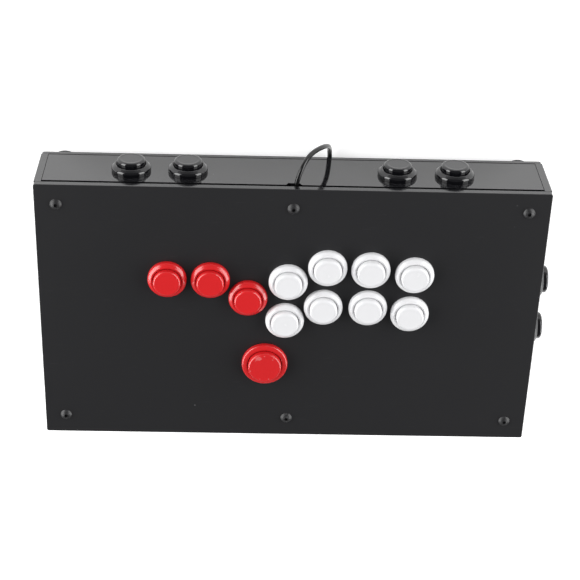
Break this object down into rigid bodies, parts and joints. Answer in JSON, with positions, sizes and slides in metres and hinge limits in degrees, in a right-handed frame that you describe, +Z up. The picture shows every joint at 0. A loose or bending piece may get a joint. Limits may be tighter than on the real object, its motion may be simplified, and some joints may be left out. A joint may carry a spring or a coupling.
{
  "type": "arcade button controller",
  "caption": "Flat box-shaped all-button arcade controller with snap-in push buttons on its top, rear and side faces and a USB cord.",
  "frame": {"origin": "middle of the base of the box that holds the case and its buttons, at the floor under the rubber feet", "axes": "+X to the player's right along the long side, +Y to the rear where the cord leaves, +Z up out of the button panel"},
  "size_m": [0.3658, 0.2245, 0.0722],
  "materials": {
    "panel_black": "satin black acrylic sheet",
    "case_black": "polished black acrylic sheet",
    "plated_steel": "nickel-plated steel",
    "black_steel": "black oxide button-head screw",
    "foot_rubber": "matte black rubber",
    "switch_plastic": "moulded switch case",
    "terminal_brass": "stamped brass blade",
    "board_green": "green glass-epoxy board",
    "spacer_brass": "turned brass",
    "connector_plastic": "moulded nylon",
    "wire_pvc": "PVC wire",
    "cord_pvc": "glossy black PVC jacket",
    "tie_nylon": "black nylon",
    "plug_pvc": "moulded black PVC grip",
    "plug_steel": "nickel-plated folded steel",
    "red_plastic": "glossy moulded red",
    "white_plastic": "glossy moulded white",
    "black_plastic": "glossy moulded black"
  },
  "bodies": {
    "case": {"top_panel": "panel_black", "bottom_panel": "case_black", "left_side_panel": "case_black", "right_side_panel": "case_black", "front_panel": "case_black", "rear_panel": "case_black", "panel_standoffs": "plated_steel", "top_panel_screws": "black_steel", "bottom_panel_screws": "black_steel", "rubber_feet": "foot_rubber", "foot_screws": "black_steel", "microswitches": "switch_plastic", "switch_terminals": "terminal_brass", "encoder_board": "board_green", "board_spacers": "spacer_brass", "board_screws": "plated_steel", "board_connectors": "connector_plastic", "wiring_harness": "wire_pvc", "usb_cord": "cord_pvc", "usb_cord_coil": "cord_pvc", "usb_cord_tail": "cord_pvc", "cable_tie": "tie_nylon", "usb_plug_body": "plug_pvc", "usb_plug_shell": "plug_steel", "housing_left": "red_plastic", "housing_down": "red_plastic", "housing_right": "red_plastic", "housing_up": "red_plastic", "housing_upper_1": "white_plastic", "housing_upper_2": "white_plastic", "housing_upper_3": "white_plastic", "housing_upper_4": "white_plastic", "housing_lower_1": "white_plastic", "housing_lower_2": "white_plastic", "housing_lower_3": "white_plastic", "housing_lower_4": "white_plastic", "housing_rear_1": "black_plastic", "housing_rear_2": "black_plastic", "housing_rear_3": "black_plastic", "housing_rear_4": "black_plastic", "housing_side_1": "black_plastic", "housing_side_2": "black_plastic"},
    "button_left": {"plunger_left": "red_plastic"},
    "button_down": {"plunger_down": "red_plastic"},
    "button_right": {"plunger_right": "red_plastic"},
    "button_up": {"plunger_up": "red_plastic"},
    "button_upper_1": {"plunger_upper_1": "white_plastic"},
    "button_upper_2": {"plunger_upper_2": "white_plastic"},
    "button_upper_3": {"plunger_upper_3": "white_plastic"},
    "button_upper_4": {"plunger_upper_4": "white_plastic"},
    "button_lower_1": {"plunger_lower_1": "white_plastic"},
    "button_lower_2": {"plunger_lower_2": "white_plastic"},
    "button_lower_3": {"plunger_lower_3": "white_plastic"},
    "button_lower_4": {"plunger_lower_4": "white_plastic"},
    "button_rear_1": {"plunger_rear_1": "black_plastic"},
    "button_rear_2": {"plunger_rear_2": "black_plastic"},
    "button_rear_3": {"plunger_rear_3": "black_plastic"},
    "button_rear_4": {"plunger_rear_4": "black_plastic"},
    "button_side_1": {"plunger_side_1": "black_plastic"},
    "button_side_2": {"plunger_side_2": "black_plastic"}
  },
  "joints": [
    {"name": "press_left", "type": "slide", "parent": "case", "child": "button_left", "axis": [0, 0, -1], "range_m": [0, 0.0025], "stiffness_N_per_m": 300, "springref_m": -0.002},
    {"name": "press_down", "type": "slide", "parent": "case", "child": "button_down", "axis": [0, 0, -1], "range_m": [0, 0.0025], "stiffness_N_per_m": 300, "springref_m": -0.002},
    {"name": "press_right", "type": "slide", "parent": "case", "child": "button_right", "axis": [0, 0, -1], "range_m": [0, 0.0025], "stiffness_N_per_m": 300, "springref_m": -0.002},
    {"name": "press_up", "type": "slide", "parent": "case", "child": "button_up", "axis": [0, 0, -1], "range_m": [0, 0.0025], "stiffness_N_per_m": 300, "springref_m": -0.002},
    {"name": "press_upper_1", "type": "slide", "parent": "case", "child": "button_upper_1", "axis": [0, 0, -1], "range_m": [0, 0.0025], "stiffness_N_per_m": 300, "springref_m": -0.002},
    {"name": "press_upper_2", "type": "slide", "parent": "case", "child": "button_upper_2", "axis": [0, 0, -1], "range_m": [0, 0.0025], "stiffness_N_per_m": 300, "springref_m": -0.002},
    {"name": "press_upper_3", "type": "slide", "parent": "case", "child": "button_upper_3", "axis": [0, 0, -1], "range_m": [0, 0.0025], "stiffness_N_per_m": 300, "springref_m": -0.002},
    {"name": "press_upper_4", "type": "slide", "parent": "case", "child": "button_upper_4", "axis": [0, 0, -1], "range_m": [0, 0.0025], "stiffness_N_per_m": 300, "springref_m": -0.002},
    {"name": "press_lower_1", "type": "slide", "parent": "case", "child": "button_lower_1", "axis": [0, 0, -1], "range_m": [0, 0.0025], "stiffness_N_per_m": 300, "springref_m": -0.002},
    {"name": "press_lower_2", "type": "slide", "parent": "case", "child": "button_lower_2", "axis": [0, 0, -1], "range_m": [0, 0.0025], "stiffness_N_per_m": 300, "springref_m": -0.002},
    {"name": "press_lower_3", "type": "slide", "parent": "case", "child": "button_lower_3", "axis": [0, 0, -1], "range_m": [0, 0.0025], "stiffness_N_per_m": 300, "springref_m": -0.002},
    {"name": "press_lower_4", "type": "slide", "parent": "case", "child": "button_lower_4", "axis": [0, 0, -1], "range_m": [0, 0.0025], "stiffness_N_per_m": 300, "springref_m": -0.002},
    {"name": "press_rear_1", "type": "slide", "parent": "case", "child": "button_rear_1", "axis": [0, -1, 0], "range_m": [0, 0.0025], "stiffness_N_per_m": 300, "springref_m": -0.002},
    {"name": "press_rear_2", "type": "slide", "parent": "case", "child": "button_rear_2", "axis": [0, -1, 0], "range_m": [0, 0.0025], "stiffness_N_per_m": 300, "springref_m": -0.002},
    {"name": "press_rear_3", "type": "slide", "parent": "case", "child": "button_rear_3", "axis": [0, -1, 0], "range_m": [0, 0.0025], "stiffness_N_per_m": 300, "springref_m": -0.002},
    {"name": "press_rear_4", "type": "slide", "parent": "case", "child": "button_rear_4", "axis": [0, -1, 0], "range_m": [0, 0.0025], "stiffness_N_per_m": 300, "springref_m": -0.002},
    {"name": "press_side_1", "type": "slide", "parent": "case", "child": "button_side_1", "axis": [-1, 0, 0], "range_m": [0, 0.0025], "stiffness_N_per_m": 300, "springref_m": -0.002},
    {"name": "press_side_2", "type": "slide", "parent": "case", "child": "button_side_2", "axis": [-1, 0, 0], "range_m": [0, 0.0025], "stiffness_N_per_m": 300, "springref_m": -0.002}
  ]
}
